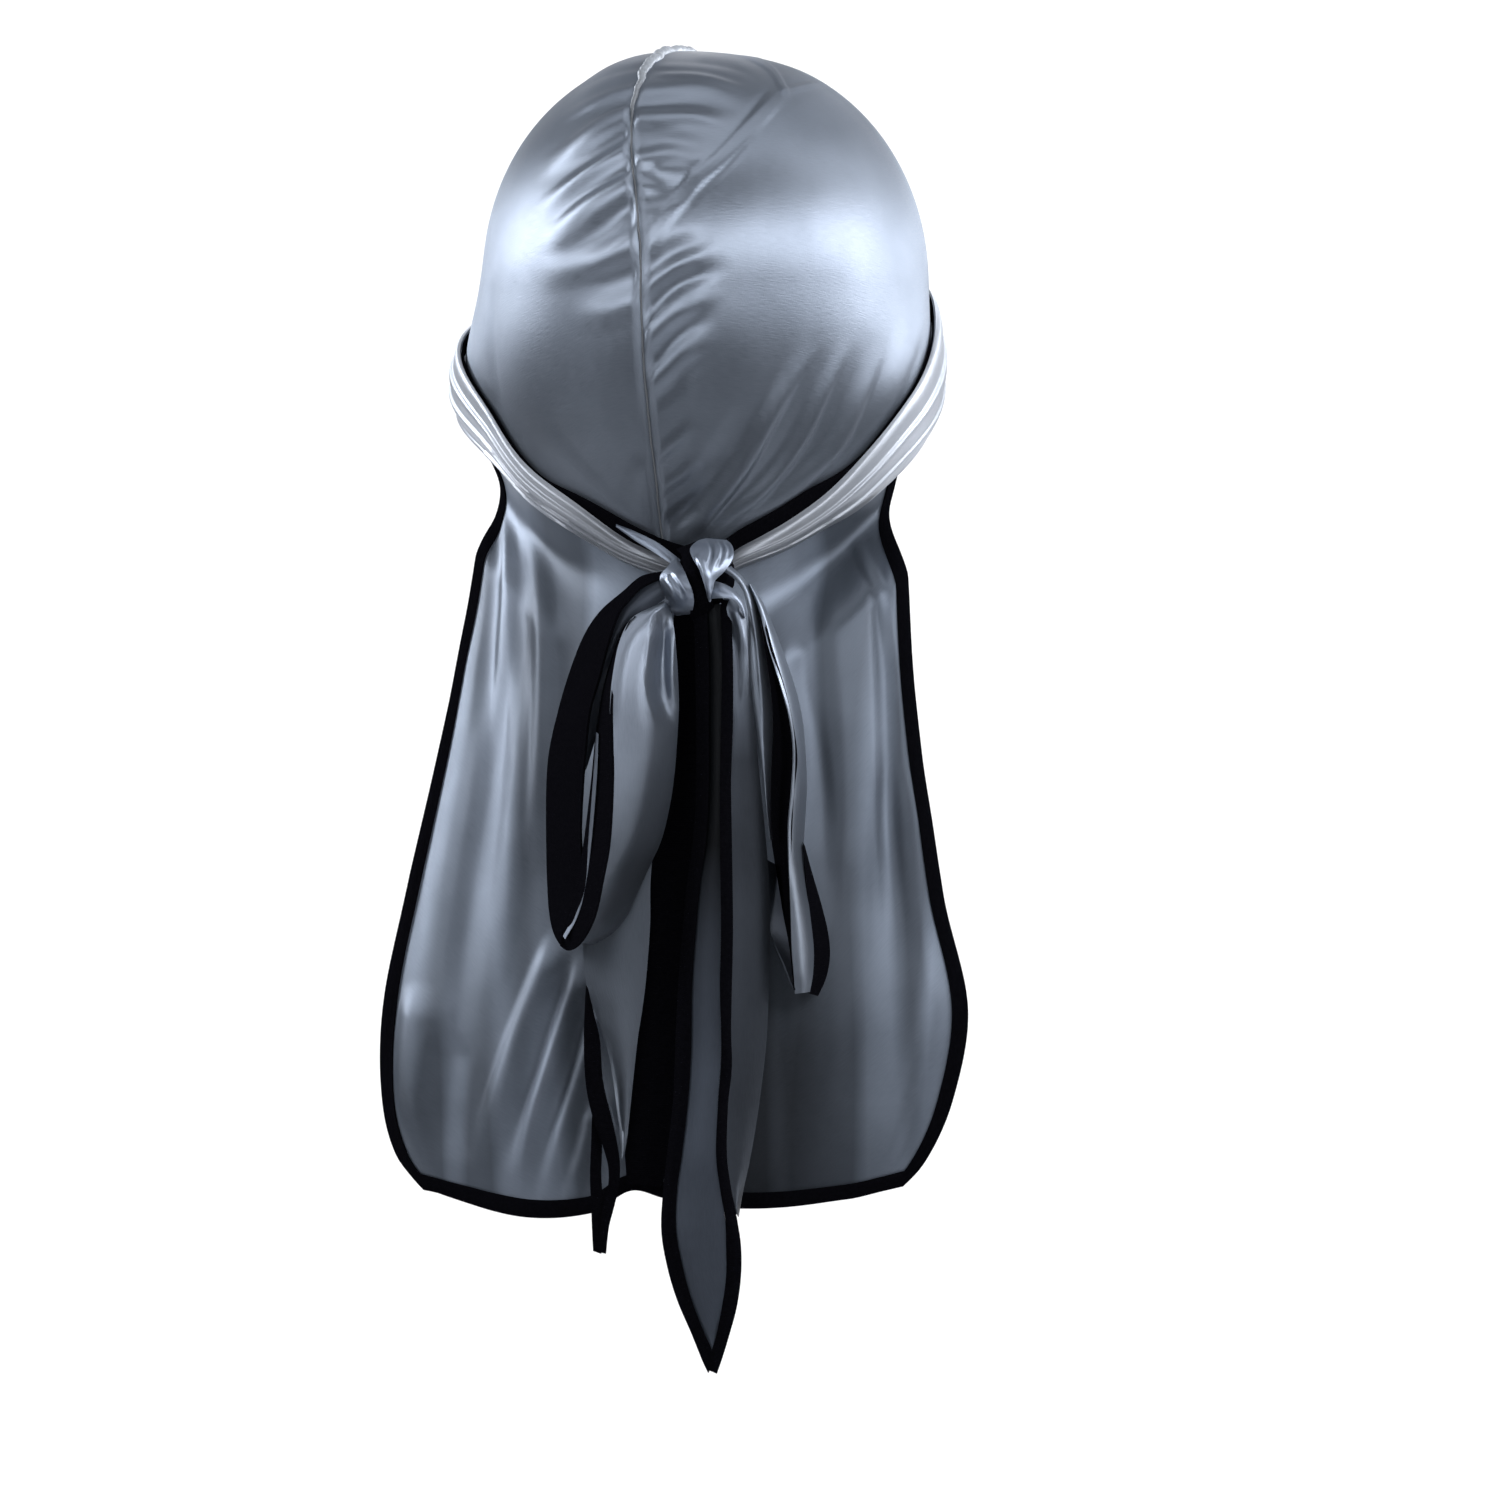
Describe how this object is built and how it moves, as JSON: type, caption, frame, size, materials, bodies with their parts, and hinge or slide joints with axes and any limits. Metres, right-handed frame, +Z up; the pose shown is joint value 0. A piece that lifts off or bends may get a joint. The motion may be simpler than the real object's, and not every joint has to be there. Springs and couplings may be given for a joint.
{
  "type": "durag",
  "caption": "Satin durag in its worn form: seamed dome crown, strap band tied in a bow at the nape, and a bound cape hanging below it.",
  "frame": {"origin": "inside top of the crown, where the top of the head touches it", "axes": "+Z up; +Y the way the wearer faces; +X the wearer's right, so the bow and the cape are towards -Y"},
  "size_m": [0.2138, 0.1985, 0.4657],
  "materials": {
    "satin": "shiny blue-grey satin, silver highlights",
    "binding": "matt black binding tape"
  },
  "bodies": {
    "root": {"crown_panel_left": "satin", "crown_panel_right": "satin", "centre_seam": "satin", "front_band": "satin", "strap_left": "satin", "strap_right": "satin", "cape": "satin", "knot_wrap_left": "satin", "knot_wrap_right": "satin", "loop_left": "satin", "loop_right": "satin", "tail_pointed": "satin", "tail_left": "satin", "strap_left_binding": "binding", "strap_right_binding": "binding", "cape_binding": "binding", "knot_core": "binding", "loop_left_binding": "binding", "loop_right_binding": "binding", "tail_pointed_edge_binding": "binding", "tail_pointed_flap_binding": "binding", "tail_left_edge_binding": "binding", "tail_left_flap_binding": "binding"}
  },
  "joints": []
}
